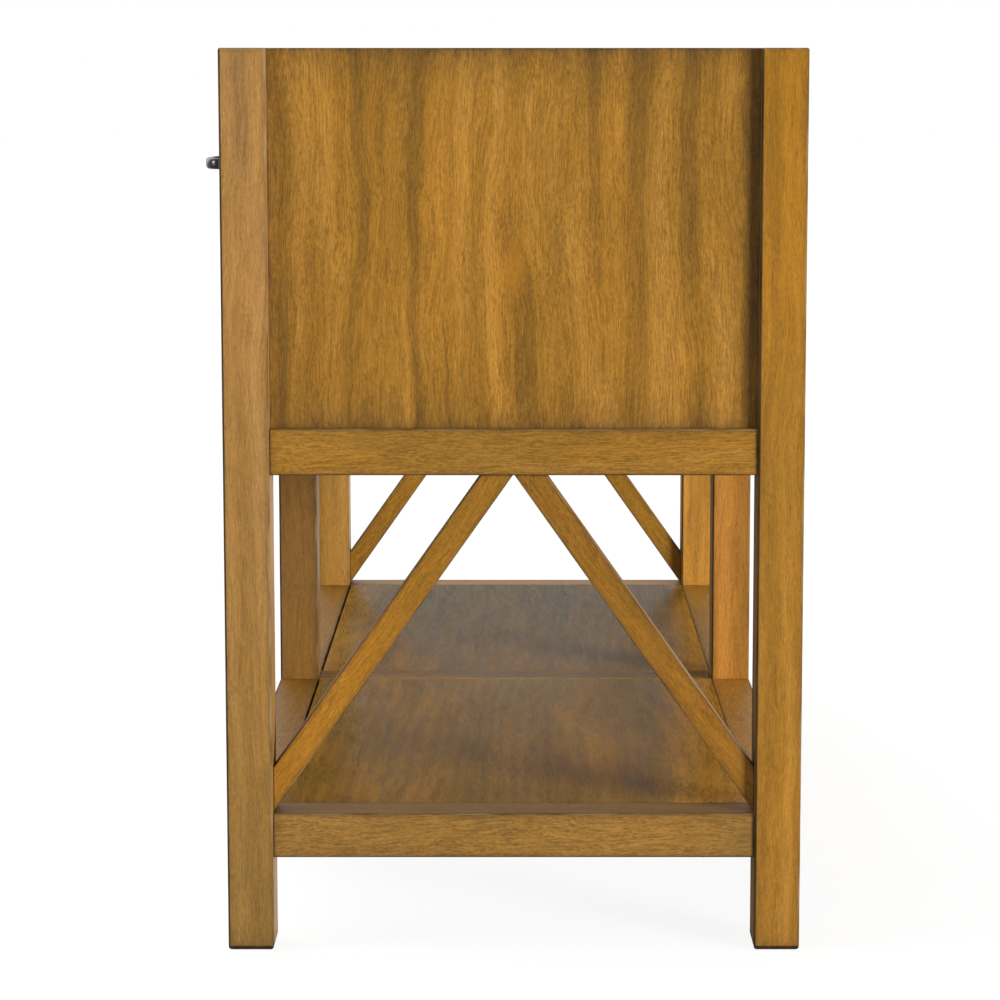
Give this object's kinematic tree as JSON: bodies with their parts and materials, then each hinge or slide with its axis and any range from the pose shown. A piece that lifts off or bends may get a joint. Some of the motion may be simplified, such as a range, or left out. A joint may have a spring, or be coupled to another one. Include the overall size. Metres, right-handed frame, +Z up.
{
  "type": "bathroom vanity unit",
  "caption": "Oak vanity cabinet on square legs, with inset drawers, arch pulls, braced sides, an open lower shelf and an open top for a basin.",
  "frame": {"origin": "on the floor, at the centre of the unit's plan with its pulls", "axes": "+X to the right as seen from the front, +Y to the back, +Z up; the drawers open along -Y"},
  "size_m": [1.219, 0.581, 0.864],
  "materials": {
    "oak_frame": "honey-brown stained oak under satin lacquer",
    "oak_panel": "stained oak, upright grain, satin lacquer",
    "oak_brace": "lighter stained oak, satin lacquer",
    "oak_front": "stained oak, level grain, satin lacquer",
    "shelf_board": "stained oak, semi-gloss lacquer",
    "box_wood": "plain pale wood, thin clear coat",
    "plywood": "birch plywood, unfinished",
    "black_metal": "black powder coat, semi-gloss",
    "zinc_steel": "zinc-plated rolled steel"
  },
  "bodies": {
    "cabinet": {"leg_front_left": "oak_frame", "leg_front_right": "oak_frame", "leg_front_centre": "oak_frame", "leg_back_left": "oak_frame", "leg_back_right": "oak_frame", "leg_back_centre": "oak_frame", "lower_side_rail_left": "oak_frame", "lower_side_rail_right": "oak_frame", "upper_side_rail_left": "oak_frame", "upper_side_rail_right": "oak_frame", "side_panel_left": "oak_panel", "side_panel_right": "oak_panel", "brace_front_left": "oak_brace", "brace_front_right": "oak_brace", "brace_back_left": "oak_brace", "brace_back_right": "oak_brace", "shelf_front_rails": "oak_frame", "shelf_back_rails": "oak_frame", "shelf_cross_rail": "oak_frame", "shelf_panel_left": "shelf_board", "shelf_panel_right": "shelf_board", "shelf_cleats": "oak_frame", "top_front_rail": "oak_frame", "mid_front_rail": "oak_frame", "bottom_front_rails": "oak_frame", "top_back_rails": "oak_frame", "bottom_back_rails": "oak_frame", "case_cross_rail": "oak_frame", "case_bottom_panels": "plywood", "case_bottom_cleats": "oak_frame", "divider_left": "oak_frame", "divider_right": "oak_frame", "centre_slide_rail": "oak_frame", "side_slide_cleats": "oak_frame", "corner_blocks": "oak_frame", "cabinet_slides": "zinc_steel", "sink_front": "oak_front", "sink_front_blocks": "oak_frame", "sink_front_pull": "black_metal"},
    "small_drawer_left": {"small_left_front": "oak_front", "small_left_box": "box_wood", "small_left_bottom": "plywood", "small_left_slides": "zinc_steel", "small_left_pull": "black_metal"},
    "small_drawer_right": {"small_right_front": "oak_front", "small_right_box": "box_wood", "small_right_bottom": "plywood", "small_right_slides": "zinc_steel", "small_right_pull": "black_metal"},
    "wide_drawer_left": {"wide_left_front": "oak_front", "wide_left_box": "box_wood", "wide_left_bottom": "plywood", "wide_left_slides": "zinc_steel", "wide_left_pull": "black_metal"},
    "wide_drawer_right": {"wide_right_front": "oak_front", "wide_right_box": "box_wood", "wide_right_bottom": "plywood", "wide_right_slides": "zinc_steel", "wide_right_pull": "black_metal"}
  },
  "joints": [
    {"name": "small_drawer_left_slide", "type": "slide", "parent": "cabinet", "child": "small_drawer_left", "axis": [0, -1, 0], "range_m": [0, 0.225]},
    {"name": "small_drawer_right_slide", "type": "slide", "parent": "cabinet", "child": "small_drawer_right", "axis": [0, -1, 0], "range_m": [0, 0.225]},
    {"name": "wide_drawer_left_slide", "type": "slide", "parent": "cabinet", "child": "wide_drawer_left", "axis": [0, -1, 0], "range_m": [0, 0.225]},
    {"name": "wide_drawer_right_slide", "type": "slide", "parent": "cabinet", "child": "wide_drawer_right", "axis": [0, -1, 0], "range_m": [0, 0.225]}
  ]
}
